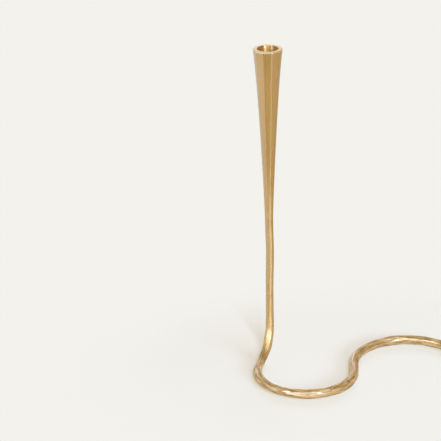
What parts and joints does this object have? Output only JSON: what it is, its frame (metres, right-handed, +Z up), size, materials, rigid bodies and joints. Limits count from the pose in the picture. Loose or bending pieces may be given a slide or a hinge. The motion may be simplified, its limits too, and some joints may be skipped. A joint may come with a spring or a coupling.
{
  "type": "candle stand",
  "caption": "Slim brass candle stand: a flared, faceted head holds a taper candle on a round stem, which bends through a heel into a wave-shaped foot that lies on the table.",
  "frame": {"origin": "on the table, under the middle of the stand's outer box", "axes": "+Z up along the stem, +X along the wave from the stem to the tail, +Y to the back"},
  "size_m": [0.3356, 0.1332, 0.356],
  "materials": {
    "head_brass": "satin, brushed along the flats",
    "socket_brass": "bright, turned",
    "stem_brass": "satin, polished by hand",
    "foot_brass": "cast and dressed by hand, slightly uneven",
    "pin_brass": "drawn bar"
  },
  "bodies": {
    "root": {"candle_head": "head_brass", "socket_floor": "socket_brass", "neck_stud": "pin_brass", "stem_rod": "stem_brass", "stem_dowel": "pin_brass", "heel_bend": "foot_brass", "heel_dowel": "pin_brass", "front_bend": "foot_brass", "front_dowel": "pin_brass", "back_bend": "foot_brass", "back_dowel": "pin_brass", "tail_bend": "foot_brass"}
  },
  "joints": []
}
